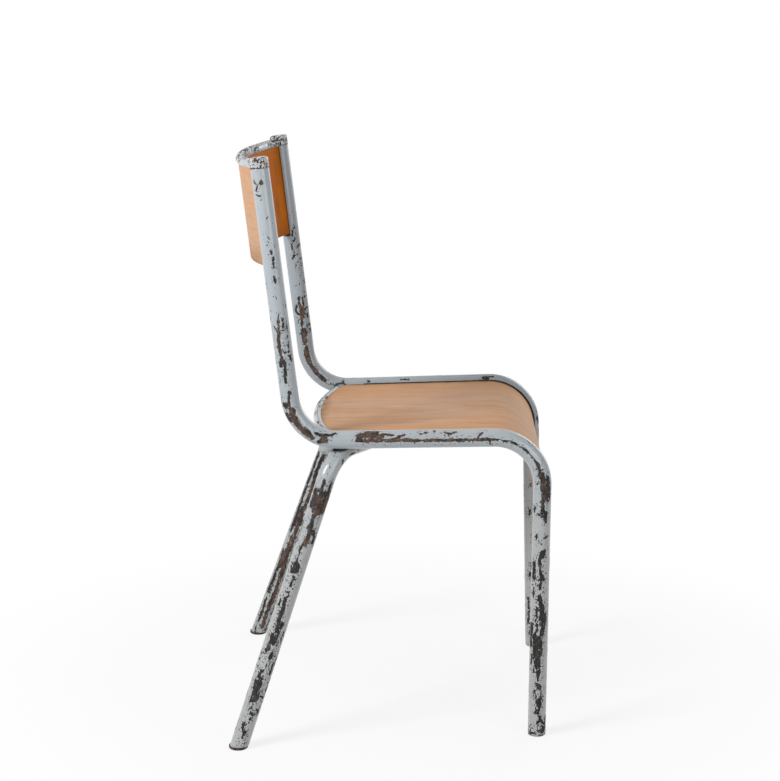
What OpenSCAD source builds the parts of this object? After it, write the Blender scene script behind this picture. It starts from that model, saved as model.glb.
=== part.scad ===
// Stacking school chair: bent steel tube frame, plywood seat and backrest.
// The chair faces -Y, +Z is up, and the origin is on the floor under its middle.
// "Left" and "right" are those of a person who sits on it: left is +X.

/* [Frame tube] */
// Outside diameter of the frame tube
tube_d = 25; // [22:0.5:30]
// Wall thickness of the frame tube
tube_wall = 1.5; // [1:0.1:2.5]
// Radius of the two bends in each side frame, at the tube's centre line
bend_r = 65; // [50:1:80]

/* [Side frames] */
// Length of a seat rail, from its front corner to its rear corner
rail_l = 339; // [300:1:400]
// Height of the rail's centre line at its front corner
rail_front_z = 430; // [360:1:500]
// Fall of the rail from its front corner to its rear corner
rail_fall = 8; // [0:1:20]
// Distance between the rails' centre lines at their front corners
front_w = 368; // [320:1:440]
// Distance between the rails' centre lines at their rear corners
rear_w = 346; // [300:1:440]
// Height of the cut upper end of the back posts
post_top_z = 795; // [720:1:900]
// Lean of the back posts from upright, in degrees
post_lean = 6.5; // [2:0.5:12]

/* [Rear legs] */
// Distance between the rear feet
rear_feet_w = 476; // [400:1:560]
// How far the rear feet stand behind the rails' rear corners
rear_feet_back = 87; // [40:1:140]
// How far the legs' upper corners lie ahead of the rails' rear corners
rear_leg_ahead = 54; // [40:1:90]
// Radius of the bend between a rear leg and the cross tube
hoop_bend_r = 52; // [40:1:60]
// Angle at which the cross tube bows forward under the seat, in degrees
hoop_bow = 32; // [10:1:38]
// Radius of the bow at the middle of the cross tube
hoop_bow_r = 180; // [120:5:220]

/* [Bent legs] */
// How far the right front leg has been pushed back at the floor
right_front_pushed = 4; // [-15:1:15]
// How far the left front leg has been pushed back at the floor
left_front_pushed = -10; // [-15:1:15]
// How far the right rear leg has been pushed back at the floor
right_rear_pushed = -7; // [-15:1:15]
// How far the left rear leg has been pushed back at the floor
left_rear_pushed = 7; // [-15:1:15]

/* [Plywood] */
// Thickness of the seat
seat_t = 9; // [6:0.5:11]
// Height above the floor at which the seat's front apron ends
apron_z = 312; // [280:1:340]
// Thickness of the backrest
back_t = 8; // [6:0.5:9]
// Height of the backrest along the posts
back_h = 136; // [110:1:200]
// How far the backrest bows behind the posts
back_bow = 40; // [20:1:55]
// Room between the plywood and the slot that grips it
slot_gap = 0.2; // [0.1:0.05:0.4]

/* [Edge tubes] */
// Outside diameter of the tube round the seat's rear edge
seat_edge_d = 13; // [12:0.5:16]
// How far that tube's middle lies ahead of the rails' rear corners
seat_edge_ahead = 22; // [10:1:40]
// How far that tube bows back between the rails
seat_edge_bow = 25; // [10:1:45]
// Outside diameter of the tube on the backrest's upper edge
top_rail_d = 14; // [12:0.5:18]
// Wall thickness of both edge tubes
edge_wall = 1.2; // [0.8:0.1:1.5]

/* [Caps, feet and welds] */
// Height of the cap on a back post
cap_h = 14.5; // [12:0.5:20]
// How far a cap stands out round its post
cap_lip = 0.4; // [0:0.1:1]
// Radius of a cap's upper edge
cap_edge = 3; // [1:0.5:5]
// How far the top rail lies below the tops of the caps
top_rail_drop = 3.5; // [1:0.5:6]
// Thickness of a foot under the tube's end
foot_h = 4; // [3:0.5:8]
// Radius of a foot's lower edge
foot_edge = 2; // [1:0.5:3]
// Length of a plug inside a tube
plug_l = 16; // [10:1:25]
// Running room round a plug
plug_gap = 0.1; // [0.05:0.05:0.3]
// Width of the weld fillets
weld = 3; // [2:0.5:4]
// Gap that the welds bridge between the rear legs and the rails
weld_gap = 0.25; // [0.1:0.05:0.5]

/* [Hidden] */
// Number of sides of a tube's section
tube_sides = 96;
$fn = tube_sides;
RIGHT = -1;
LEFT = 1;
tube_r = tube_d / 2;
bore_r = tube_r - tube_wall;
// Cuts run this far past the solids that they cut
past = 5;
// Solids that only touch are kept this far apart
clear = 0.3;
// How far a bend stands proud of its straights, and how far they run on into it
bend_swell = 0.1;
bend_lap = 0.5;

// ---- vectors and frames
function unit(v) = v / norm(v);
function turn(a, b) = acos(max(-1, min(1, unit(a) * unit(b))));
// Matrix that puts +X, +Y and +Z along three unit vectors, with the origin at p
function frame_at(x, y, z, p) = [
    [x.x, y.x, z.x, p.x], [x.y, y.y, z.y, p.y], [x.z, y.z, z.z, p.z], [0, 0, 0, 1]];
// Number of sides that keeps a circle of radius r true to about 0.01 mm
function sides_for(r) = 16 * ceil(180 / acos(1 - 0.01 / r) / 16);
// Length that a bend of radius r takes off each straight at corner i of a route
function setback(pts, i, r) =
    r * tan(turn(pts[i] - pts[i - 1], pts[i + 1] - pts[i]) / 2);
// Radius of the bend at point i: the two ends of a route have none
function radius_at(pts, radii, i) = i == 0 || i == len(pts) - 1 ? 0 : radii[i - 1];
function setback_at(pts, radii, i) =
    radius_at(pts, radii, i) == 0 ? 0 : setback(pts, i, radii[i - 1]);

// Sweeps a section along the straights of a route. The section's X lies in the plane
// of the bends and its Y along n. The route's ends are lengthened by extra, and each
// straight runs on into its bends by lap.
module straights(pts, radii, n, extra = 0, lap = 0) {
    last = len(pts) - 1;
    for (i = [0:last - 1]) {
        d = unit(pts[i + 1] - pts[i]);
        before = i == 0 ? -extra : setback_at(pts, radii, i) - lap;
        after = i == last - 1 ? -extra : setback_at(pts, radii, i + 1) - lap;
        p = pts[i] + d * before;
        q = pts[i + 1] - d * after;
        x = unit(cross(n, d));
        multmatrix(frame_at(x, cross(d, x), d, p)) linear_extrude(norm(q - p)) children();
    }
}

// Sweeps a section round the bends of a route, with its X pointing outwards
module bends(pts, radii) {
    for (i = [1:1:len(pts) - 2]) {
        d = unit(pts[i] - pts[i - 1]);
        e = unit(pts[i + 1] - pts[i]);
        r = radii[i - 1];
        start = pts[i] - d * setback(pts, i, r);
        out = unit(unit(d - e) - d * (unit(d - e) * d));
        multmatrix(frame_at(out, d, cross(out, d), start - out * r))
            rotate_extrude(angle = turn(d, e), $fn = sides_for(r)) translate([r, 0]) children();
    }
}

// A round tube's straights end inside its bends, which bending has swollen a little
module tube_solid(pts, radii, r, extra = 0) {
    straights(pts, radii, unit([0.4, 1, 0.2]), extra, bend_lap) circle(r);
    bends(pts, radii) circle(r + bend_swell, $fn = tube_sides);
}

// ---- where things are
// Half the distance between the two side frames, whose planes are a little toed in
toe = (front_w - rear_w) / 2 / rail_l;
// The middle of the chair's length is put over the origin
front_most = min(right_front_pushed, left_front_pushed, 0);
rear_most = rail_l + rear_feet_back + max(right_rear_pushed, left_rear_pushed);
front_y = -(front_most + rear_most) / 2;
rear_y = front_y + rail_l;
rail_rear_z = rail_front_z - rail_fall;
rail_dir = unit([0, rail_l, -rail_fall]);
post_dir = [0, sin(post_lean), cos(post_lean)];
post_back = [0, cos(post_lean), -sin(post_lean)];
post_top_y = rear_y + (post_top_z - rail_rear_z) * tan(post_lean);

function frame_x(y) = front_w / 2 - toe * (y - front_y);
function in_frame(side, y, z) = [side * frame_x(y), y, z];
function rail_z(y) = rail_front_z - rail_fall * (y - front_y) / rail_l;
function front_pushed(side) = side == RIGHT ? right_front_pushed : left_front_pushed;
function rear_pushed(side) = side == RIGHT ? right_rear_pushed : left_rear_pushed;
function front_foot_at(side) = in_frame(side, front_y + front_pushed(side), 0);
function front_corner(side) = in_frame(side, front_y, rail_front_z);
function rear_corner(side) = in_frame(side, rear_y, rail_rear_z);
function post_top(side) = in_frame(side, post_top_y, post_top_z);
function side_route(side) =
    [front_foot_at(side), front_corner(side), rear_corner(side), post_top(side)];
side_bends = [bend_r, bend_r];

// The rear legs and the cross tube under the seat are one tube
hoop_y = rear_y - rear_leg_ahead;
hoop_z = rail_z(hoop_y) - seat_t / 2 - clear - tube_r;
function rear_foot_at(side, pushed) = [side * rear_feet_w / 2, rear_y + rear_feet_back + pushed, 0];
function rear_foot(side) = rear_foot_at(side, rear_pushed(side));
// Points along the left bend's centre line, for a corner at the distance x from the middle
function hoop_bend_points(x) =
    let(corner = [x, hoop_y, hoop_z],
        up = unit(corner - rear_foot_at(LEFT, 0)),
        inward = [-cos(hoop_bow), -sin(hoop_bow), 0],
        angle = turn(up, inward),
        to_centre = unit(inward - up),
        centre = corner + to_centre * hoop_bend_r / cos(angle / 2),
        out = -unit(to_centre - up * (to_centre * up)))
    [for (i = [0:40]) centre + hoop_bend_r * (cos(angle * i / 40) * out + sin(angle * i / 40) * up)];
function from_rail(p) = norm(cross(p - front_corner(LEFT),
    unit(rear_corner(LEFT) - front_corner(LEFT))));
function hoop_from_rail(x) = min([for (p = hoop_bend_points(x)) from_rail(p)]);
// Halves the range from a to b until the bends all but touch the rails from below
function touching_x(a, b, n) = let(x = (a + b) / 2) n == 0 ? x
    : hoop_from_rail(x) > tube_d + bend_swell + weld_gap ? touching_x(x, b, n - 1) : touching_x(a, x, n - 1);
hoop_x = touching_x(frame_x(hoop_y) - tube_r, frame_x(hoop_y) + tube_r, 14);
function hoop_corner(side) = [side * hoop_x, hoop_y, hoop_z];
hoop_middle = [0, hoop_y - hoop_x * tan(hoop_bow), hoop_z];
hoop_route = [rear_foot(RIGHT), hoop_corner(RIGHT), hoop_middle, hoop_corner(LEFT),
    rear_foot(LEFT)];
hoop_bends = [hoop_bend_r, hoop_bow_r, hoop_bend_r];

// ---- hollow steel tubes
module side_tube(side, r, extra = 0) {
    tube_solid(side_route(side), side_bends, r, extra);
}

module hoop_tube(r, extra = 0) {
    tube_solid(hoop_route, hoop_bends, r, extra);
}

// Takes away what lies below the height z
module above(z) {
    difference() {
        children();
        translate([-front_w, -rail_l * 1.5, z - 100]) cube([front_w * 2, rail_l * 3, 100]);
    }
}

module side_frame(side) {
    color("lightsteelblue") difference() {
        above(foot_h) side_tube(side, tube_r);
        side_tube(side, bore_r, past);
        seat_sheet(slot_gap);
        backrest_sheet(slot_gap);
    }
}

module rear_leg_hoop() {
    color("lightsteelblue") difference() {
        above(foot_h) hoop_tube(tube_r, past);
        hoop_tube(bore_r, past * 2);
    }
}

// ---- plywood
// The seat's edges stop this far inside the middle of the tubes that grip them
edge_in_tube = tube_r * 0.4;
// The rear edge follows the edge tube, which bows back from rail to rail
seat_edge_chord = frame_x(rear_y) - tube_r;
seat_edge_arc_r = (pow(seat_edge_chord, 2) + pow(seat_edge_bow, 2)) / 2 / seat_edge_bow;
seat_edge_y = rear_y - seat_edge_ahead;
seat_edge_r = seat_edge_d / 2;

// Plan of the seat, from grip to grip, grown by g
module seat_plan(g) {
    front = front_y - bend_r;
    front_half = frame_x(front) - edge_in_tube + g;
    rear_half = frame_x(rear_y) - edge_in_tube + g;
    intersection() {
        polygon([[-front_half, front], [front_half, front], [rear_half, rear_y],
            [-rear_half, rear_y]]);
        translate([0, seat_edge_y - seat_edge_arc_r])
            circle(seat_edge_arc_r - seat_edge_r * 0.2 + g, $fn = sides_for(seat_edge_arc_r));
    }
}

// Seat, apron and the bend between them, grown by g all round
module seat_sheet(g = 0) {
    sheet_route = [[0, front_y, apron_z - g], [0, front_y, rail_front_z],
        [0, seat_edge_y, rail_z(seat_edge_y)]];
    intersection() {
        union() {
            straights(sheet_route, [bend_r], [1, 0, 0])
                square([seat_t + 2 * g, front_w * 1.2], center = true);
            bends(sheet_route, [bend_r])
                square([seat_t + 2 * g, front_w * 1.2], center = true);
        }
        translate([0, 0, apron_z - 50]) linear_extrude(rail_front_z - apron_z + 100)
            seat_plan(g);
    }
}

// Frame of the back: origin midway between the posts' cut ends, +Y behind them and
// +Z up along them
module back_frame() {
    multmatrix(frame_at([1, 0, 0], post_back, post_dir, [0, post_top_y, post_top_z]))
        children();
}

// The backrest is part of a cylinder that passes through both posts' centre lines
post_x = frame_x(post_top_y);
back_r = (pow(post_x, 2) + pow(back_bow, 2)) / 2 / back_bow;
top_rail_r = top_rail_d / 2;
// Height of the top rail's middle over the posts' cut ends
top_rail_z = cap_h - top_rail_r - top_rail_drop;
back_top = top_rail_z - top_rail_r * 0.25;
// Half the angle that the backrest spans, to edge_in_tube from the posts' middles
back_half = asin((post_x - edge_in_tube) / back_r);

// Sweeps a section round the backrest's curve, over half the angle a each way
module round_back(a) {
    back_frame() translate([0, back_bow - back_r, 0]) rotate([0, 0, 90 - a])
        rotate_extrude(angle = 2 * a, $fn = sides_for(back_r)) translate([back_r, 0]) children();
}

module backrest_sheet(g = 0) {
    round_back(asin((post_x - edge_in_tube + g) / back_r))
        translate([-back_t / 2 - g, back_top - back_h - g])
            square([back_t + 2 * g, back_h + 2 * g]);
}

module seat_panel() {
    color("peru") seat_sheet();
}

module backrest_panel() {
    color("peru") backrest_sheet();
}

// ---- slit edge tubes
// The seat's edge tube, lengthened into the rails, whose outside trims it
module seat_edge_arc(r) {
    half = asin(frame_x(seat_edge_y) / seat_edge_arc_r);
    translate([0, seat_edge_y - seat_edge_arc_r, rail_z(seat_edge_y)])
        rotate([0, 0, 90 - half])
            rotate_extrude(angle = 2 * half, $fn = sides_for(seat_edge_arc_r))
                translate([seat_edge_arc_r, 0]) circle(r, $fn = 48);
}

module seat_edge_tube() {
    color("lightsteelblue") difference() {
        seat_edge_arc(seat_edge_r);
        seat_edge_arc(seat_edge_r - edge_wall);
        seat_sheet(slot_gap);
        for (side = [RIGHT, LEFT]) side_tube(side, tube_r);
    }
}

module top_rail_arc(r) {
    round_back(back_half) translate([0, top_rail_z]) circle(r, $fn = 48);
}

// Frame of a post's cut end: +Z along the post
module post_frame(side) {
    z = unit(post_top(side) - rear_corner(side));
    x = unit(cross(post_back, z));
    multmatrix(frame_at(x, cross(z, x), z, post_top(side))) children();
}

// Half section of a disc of radius r and height h, with its upper edge rounded
module rounded_disc_section(r, h, edge) {
    square([r, h - edge]);
    square([r - edge, h]);
    translate([r - edge, h - edge]) intersection() {
        circle(edge, $fn = 48);
        square(edge);
    }
}

// Solid outside of a post's cap
module cap_outside(side) {
    post_frame(side) rotate_extrude() rounded_disc_section(tube_r + cap_lip, cap_h, cap_edge);
}

module top_rail() {
    color("lightsteelblue") difference() {
        top_rail_arc(top_rail_r);
        top_rail_arc(top_rail_r - edge_wall);
        backrest_sheet(slot_gap);
        for (side = [RIGHT, LEFT]) {
            cap_outside(side);
            side_tube(side, tube_r, past);
        }
    }
}

module post_cap(side) {
    color("silver") difference() {
        union() {
            cap_outside(side);
            post_frame(side) translate([0, 0, -plug_l]) cylinder(r = bore_r - plug_gap, h = plug_l);
        }
        backrest_sheet(slot_gap);
    }
}

// ---- feet
// A foot is a disc that lies flat on the floor, with a plug up the leg
module foot(at, to) {
    d = unit(to - at);
    color("dimgray") {
        translate([at.x, at.y, foot_h]) rotate_extrude()
            mirror([0, 1]) rounded_disc_section(tube_r / d.z, foot_h, foot_edge);
        above(foot_h / 2) tube_solid([at, at + d * (foot_h + plug_l)], [], bore_r - plug_gap);
    }
}

// ---- welds
// Ring round the point where a bend of the rear leg tube comes closest to its rail
module hoop_weld(side) {
    on_bend = [for (p = hoop_bend_points(hoop_x)) if (from_rail(p) == hoop_from_rail(hoop_x)) p][0];
    on_rail = in_frame(LEFT, on_bend.y, rail_z(on_bend.y));
    up = unit(on_rail - on_bend);
    x = unit(cross([0, 1, 0], up));
    scale([side, 1, 1]) multmatrix(frame_at(x, cross(up, x), up, on_bend))
        rotate_extrude() translate([tube_r / 2, 0]) square([weld, norm(on_rail - on_bend)]);
}

// Cone round an end of the seat's edge tube, with its wide end inside the rail
module edge_weld(side) {
    end_y = seat_edge_y - seat_edge_bow;
    slope = 2 * seat_edge_bow / seat_edge_chord;
    z = unit([-side, slope, 0]);
    multmatrix(frame_at([z.y, -z.x, 0], [0, 0, -1], z, in_frame(side, end_y, rail_z(end_y))))
        cylinder(r1 = seat_edge_r + weld * 2, r2 = seat_edge_r, h = tube_r + weld * 2);
}

module weld_beads() {
    color("lightsteelblue") for (side = [RIGHT, LEFT]) {
        difference() {
            hoop_weld(side);
            side_tube(side, tube_r);
            hoop_tube(tube_r);
            seat_sheet(slot_gap);
        }
        difference() {
            edge_weld(side);
            side_tube(side, tube_r);
            seat_edge_arc(seat_edge_r);
            seat_sheet(slot_gap);
        }
    }
}

side_frame(RIGHT);  // right_side_frame
side_frame(LEFT);  // left_side_frame
rear_leg_hoop();
seat_panel();
backrest_panel();
seat_edge_tube();
top_rail();
post_cap(RIGHT);  // right_post_cap
post_cap(LEFT);  // left_post_cap
foot(front_foot_at(RIGHT), front_corner(RIGHT));  // right_front_foot
foot(front_foot_at(LEFT), front_corner(LEFT));  // left_front_foot
foot(rear_foot(RIGHT), hoop_corner(RIGHT));  // right_rear_foot
foot(rear_foot(LEFT), hoop_corner(LEFT));  // left_rear_foot
weld_beads();
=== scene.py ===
# %% [markdown]
# # A school chair with peeling paint
#
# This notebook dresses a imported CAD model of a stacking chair: two bent tube side frames, a
# hoop of tube for the rear legs, a plywood seat with an apron, and a curved plywood backrest.
# The steel was painted pale blue-grey long ago, and the paint has chipped off down to dark
# steel and rust. The CAD model says where everything is. What Blender adds is the surface, so
# most cells are about paint, rust and wood.

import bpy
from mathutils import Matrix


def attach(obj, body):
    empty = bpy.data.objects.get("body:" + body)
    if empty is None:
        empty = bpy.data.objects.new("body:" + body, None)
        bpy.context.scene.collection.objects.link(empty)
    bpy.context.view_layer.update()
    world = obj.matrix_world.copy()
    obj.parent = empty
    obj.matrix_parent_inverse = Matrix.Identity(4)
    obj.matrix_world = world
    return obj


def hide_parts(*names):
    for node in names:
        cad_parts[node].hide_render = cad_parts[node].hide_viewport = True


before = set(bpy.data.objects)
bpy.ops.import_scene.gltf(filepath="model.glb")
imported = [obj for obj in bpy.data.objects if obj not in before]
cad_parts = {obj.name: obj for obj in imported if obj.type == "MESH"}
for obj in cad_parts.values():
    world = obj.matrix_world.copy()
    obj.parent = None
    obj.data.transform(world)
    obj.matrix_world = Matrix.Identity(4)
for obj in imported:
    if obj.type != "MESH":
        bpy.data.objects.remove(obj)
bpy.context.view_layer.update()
print("CAD nodes:", sorted(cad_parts))

# %% Other modules
import math

import bpy
import numpy as np
from mathutils import Matrix, Vector
from mathutils.kdtree import KDTree

# %% [markdown]
# ## Sizes
#
# The chips need a surface that knows how far along its tube each point lies, which an imported
# CAD mesh doesn't. So the tubes are swept again here from the CAD model's driving dimensions,
# in metres. The boxes of the CAD nodes give the rest.

# %% Driving dimensions
TUBE_R = 0.0125
BEND_R = 0.065
FRONT_W = 0.368
REAR_W = 0.346
RAIL_L = 0.339
RAIL_FRONT_Z = 0.430
RAIL_FALL = 0.008
POST_TOP_Z = 0.795
POST_LEAN = math.radians(6.5)
REAR_FEET_W = 0.476
REAR_FEET_BACK = 0.087
REAR_LEG_AHEAD = 0.054
HOOP_BEND_R = 0.052
HOOP_BOW = math.radians(32)
HOOP_BOW_R = 0.180
SEAT_T = 0.009
APRON_Z = 0.312
BACK_T = 0.008
BACK_H = 0.136
BACK_BOW = 0.040
SEAT_EDGE_R = 0.0065
SEAT_EDGE_AHEAD = 0.022
SEAT_EDGE_BOW = 0.025
TOP_RAIL_R = 0.007
TOP_RAIL_DROP = 0.0035
CAP_H = 0.0145
CAP_R = TUBE_R + 0.0004
FOOT_H = 0.004
RIGHT, LEFT = -1, 1
# The front and rear feet have been pushed back by this much, on the right and on the left
FRONT_PUSHED = {RIGHT: 0.004, LEFT: -0.010}
REAR_PUSHED = {RIGHT: -0.007, LEFT: 0.007}

# %% Places worked out from them
TOE = (FRONT_W - REAR_W) / 2 / RAIL_L
FRONT_Y = -(FRONT_PUSHED[LEFT] + RAIL_L + REAR_FEET_BACK + REAR_PUSHED[LEFT]) / 2
REAR_Y = FRONT_Y + RAIL_L
RAIL_REAR_Z = RAIL_FRONT_Z - RAIL_FALL
POST_TOP_Y = REAR_Y + (POST_TOP_Z - RAIL_REAR_Z) * math.tan(POST_LEAN)
SEAT_EDGE_Y = REAR_Y - SEAT_EDGE_AHEAD


def frame_x(y):
    return FRONT_W / 2 - TOE * (y - FRONT_Y)


def rail_z(y):
    return RAIL_FRONT_Z - RAIL_FALL * (y - FRONT_Y) / RAIL_L


print("front of the rails at y =", round(FRONT_Y, 4), "and their rear at", round(REAR_Y, 4))

# %% [markdown]
# ## Bent tubes
#
# A bent tube is straight stretches joined by arcs. The route of its middle is worked out point
# by point, and a pair of directions is carried along it without twisting. Each point of the
# tube's skin then has two numbers, its distance along the tube and its angle round it, as on
# an unrolled sheet of paper. That sheet is where the chips get drawn.

# %% Routes
RING_STEP = 0.0015


def unit(v):
    v = np.asarray(v, float)
    return v / np.linalg.norm(v)


def between(a, b):
    """The turn from angle b to angle a, from -180 to 180 degrees."""
    return (a - b + 180) % 360 - 180


def straight_to(points, end, step):
    count = max(2, int(np.linalg.norm(end - points[-1]) / step))
    return points + [points[-1] + (end - points[-1]) * k / count for k in range(1, count + 1)]


def bent_route(corners, radii, step=RING_STEP):
    points = [np.array(corners[0], float)]
    for before, corner, after, radius in zip(corners, corners[1:], corners[2:], radii):
        d, e = unit(np.subtract(corner, before)), unit(np.subtract(after, corner))
        angle = math.acos(float(d @ e))
        start = corner - d * radius * math.tan(angle / 2)
        points = straight_to(points, start, step)
        out = unit((d - e) - d * ((d - e) @ d))
        count = max(4, int(angle * radius / step))
        for k in range(1, count + 1):
            a = angle * k / count
            points.append(start - out * radius + radius * (math.cos(a) * out + math.sin(a) * d))
    return np.array(straight_to(points, np.array(corners[-1], float), step))


def carried_frames(route, first_side):
    tangents = np.gradient(route, axis=0)
    tangents /= np.linalg.norm(tangents, axis=1)[:, None]
    sides = [np.asarray(first_side, float)]
    for t in tangents:
        sides.append(unit(sides[-1] - (sides[-1] @ t) * t))
    sides = np.array(sides[1:])
    lengths = np.linalg.norm(np.diff(route, axis=0), axis=1)
    return tangents, sides, np.cross(tangents, sides), np.concatenate([[0], np.cumsum(lengths)])


# %% Where the tubes run
def side_corners(side):
    front = FRONT_Y + FRONT_PUSHED[side]
    return [np.array([side * frame_x(front), front, 0]),
            np.array([side * frame_x(FRONT_Y), FRONT_Y, RAIL_FRONT_Z]),
            np.array([side * frame_x(REAR_Y), REAR_Y, RAIL_REAR_Z]),
            np.array([side * frame_x(POST_TOP_Y), POST_TOP_Y, POST_TOP_Z])]


def rear_foot(side):
    return np.array([side * REAR_FEET_W / 2, REAR_Y + REAR_FEET_BACK + REAR_PUSHED[side], 0])


HOOP_Y = REAR_Y - REAR_LEG_AHEAD
HOOP_UNDER_SEAT = 0.0003
HOOP_Z = rail_z(HOOP_Y) - SEAT_T / 2 - HOOP_UNDER_SEAT - TUBE_R
# The hoop's corners stand a little outside the rails, so that its bends meet them
HOOP_CORNER_OUT = 0.0025
HOOP_X = frame_x(HOOP_Y) + HOOP_CORNER_OUT
hoop_corners = [rear_foot(RIGHT), np.array([-HOOP_X, HOOP_Y, HOOP_Z]),
                np.array([0, HOOP_Y - HOOP_X * math.tan(HOOP_BOW), HOOP_Z]),
                np.array([HOOP_X, HOOP_Y, HOOP_Z]), rear_foot(LEFT)]
side_routes = {side: bent_route(side_corners(side), [BEND_R, BEND_R]) for side in (RIGHT, LEFT)}
hoop_route = bent_route(hoop_corners, [HOOP_BEND_R, HOOP_BOW_R, HOOP_BEND_R])
print("ring counts:", len(side_routes[RIGHT]), len(side_routes[LEFT]), len(hoop_route))

# %% Arcs of the seat's rear edge and of the backrest
# The boards' edges stop this far short of the side frames' middle lines
BOARD_IN_TUBE = TUBE_R * 0.4
ARC_STEPS = 260
back_rail_half = frame_x(POST_TOP_Y)
back_arc_r = (back_rail_half ** 2 + BACK_BOW ** 2) / 2 / BACK_BOW
back_turn = math.degrees(math.asin(back_rail_half / back_arc_r))
seat_chord = frame_x(REAR_Y) - TUBE_R
seat_arc_r = (seat_chord ** 2 + SEAT_EDGE_BOW ** 2) / 2 / SEAT_EDGE_BOW
seat_edge_half = math.asin(frame_x(SEAT_EDGE_Y) / seat_arc_r)
back_half = math.asin((back_rail_half - BOARD_IN_TUBE) / back_arc_r)
POST_DIR = np.array([0, math.sin(POST_LEAN), math.cos(POST_LEAN)])
POST_BACK = np.array([0, math.cos(POST_LEAN), -math.sin(POST_LEAN)])
BACK_ORIGIN = np.array([0, POST_TOP_Y, POST_TOP_Z])
TOP_RAIL_Z = CAP_H - TOP_RAIL_R - TOP_RAIL_DROP
BACK_TOP = TOP_RAIL_Z - TOP_RAIL_R * 0.25
# The flat faces take this share of the backrest's height, and its rounded edges the rest
BACK_SHARE = 0.998


def on_back(angle, depth, height):
    """A point of the curved back: the angle along its arc, the depth behind its middle."""
    r = back_arc_r + depth
    return (BACK_ORIGIN + np.array([1.0, 0, 0]) * r * math.sin(angle)
            + POST_BACK * (BACK_BOW - back_arc_r + r * math.cos(angle)) + POST_DIR * height)


seat_edge_z = rail_z(SEAT_EDGE_Y)
seat_edge_route = np.array([
    [seat_arc_r * math.sin(a), SEAT_EDGE_Y - seat_arc_r + seat_arc_r * math.cos(a), seat_edge_z]
    for a in np.linspace(-seat_edge_half, seat_edge_half, ARC_STEPS)])
top_rail_route = np.array([
    on_back(a, 0, TOP_RAIL_Z) for a in np.linspace(-back_half, back_half, ARC_STEPS)])
print("half angle of the backrest's arc:", round(math.degrees(back_half), 2), "degrees")

# %% [markdown]
# ## Chips as strokes on the unrolled tube
#
# Paint comes off a handled tube in ragged patches that run along it. Each patch is drawn as a
# stroke of a broad pen, written as its width in millimetres and then its places by turns: a
# distance along the tube in millimetres and an angle round it in degrees. Every vertex stores
# how far it lies from the nearest stroke's edge, so the material can later put a crisp and
# ragged edge there, much finer than the mesh. Under brown strokes the steel has rusted.


# %% Distance to the strokes
def stroke_distance(along, around, radius_mm, places):
    """Distance in millimetres from each vertex to a stroke's line, or to its only point."""
    nearest = np.full(along.shape, 99.0)
    points = list(zip(places[::2], places[1::2]))
    if len(points) == 1:
        points = points * 2
    for (s0, a0), (s1, a1) in zip(points, points[1:]):
        scale = math.radians(radius_mm)
        across = between(around, a0) * scale
        ds, da = s1 - s0, (a1 - a0) * scale
        t = ((along - s0) * ds + across * da) / max(ds * ds + da * da, 1e-6)
        t = np.clip(t, 0, 1)
        nearest = np.minimum(nearest, np.hypot(along - s0 - t * ds, across - t * da))
    return nearest


def chip_fields(along, around, radius_mm, dark, brown):
    """Distance outside the nearest chip, and how brown the steel is, at each vertex."""
    chip, rust = np.full(along.shape, 9.0), np.zeros(along.shape)
    for strokes, is_brown in ((dark, 0), (brown, 1)):
        for width, *places in strokes:
            outside = stroke_distance(along, around, radius_mm, places) - width / 2
            chip = np.minimum(chip, outside)
            if is_brown:
                rust = np.maximum(rust, np.clip(1 - outside / 3, 0, 1))
    return chip, rust


# %% Random strokes for the sides that have no drawn ones
def random_strokes(rng, count, along, around, longest, widest):
    strokes = []
    for _ in range(count):
        s, a = rng.uniform(*along), rng.uniform(*around)
        length = longest * rng.random() ** 2.2
        width = 1.5 + (widest - 1.5) * rng.random() ** 2
        stroke = [width, s, a]
        for _ in range(int(length // 12)):
            s, a = s + rng.uniform(8, 16), a + rng.uniform(-16, 16)
            stroke += [s, a]
        strokes.append(stroke)
    return strokes


# %% [markdown]
# ## Meshes
#
# A swept skin is rings of points joined by quads. The same function closes any skin of rings,
# and stores what the materials read: the unrolled place in metres, the distance to a chip and
# the brownness. The rings get more points where a slot grips the plywood: there the skin dips
# in, and the plywood's edge goes into the dip.


# %% Build a mesh from rings
def ring_faces(rings, sides):
    faces = []
    for i in range(rings - 1):
        for j in range(sides):
            k = (j + 1) % sides
            faces.append((i * sides + j, i * sides + k, (i + 1) * sides + k, (i + 1) * sides + j))
    return faces


def put_in_scene(name, data):
    thing = bpy.data.objects.new(name, data)
    bpy.context.scene.collection.objects.link(thing)
    return thing


def new_piece(name, vertices, faces, fields, material):
    mesh = bpy.data.meshes.new(name)
    mesh.from_pydata(np.asarray(vertices).reshape(-1, 3).tolist(), [], faces)
    for key, values in fields.items():
        values = np.asarray(values, np.float32)
        kind = "FLOAT_VECTOR" if values.size == 3 * len(mesh.vertices) else "FLOAT"
        layer = mesh.attributes.new(key, kind, "POINT")
        layer.data.foreach_set("vector" if kind == "FLOAT_VECTOR" else "value", values.ravel())
    mesh.shade_smooth()
    mesh.materials.append(material)
    piece = put_in_scene(name, mesh)
    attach(piece, "root")
    return piece


# %% Slots, level ends and seams
SLOT_GAP = 0.0006
SLOT_DEPTH = 0.003
LIP_DEPTH = 0.0003
LEVEL_OVER = 0.03


def ring_angles(slots, count=60):
    """Angles round a ring in degrees, with extra ones at the edges of its slots."""
    angles = set(np.arange(0, 360, 360 / count))
    for slot in slots:
        for edge in (slot["middle"] - slot["half"], slot["middle"] + slot["half"]):
            angles = {a for a in angles if abs(between(a, edge)) > 3}
            angles |= {(edge + step) % 360 for step in (-3.5, -0.8, 0.8, 3.5)}
    return np.array(sorted(angles))


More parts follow.
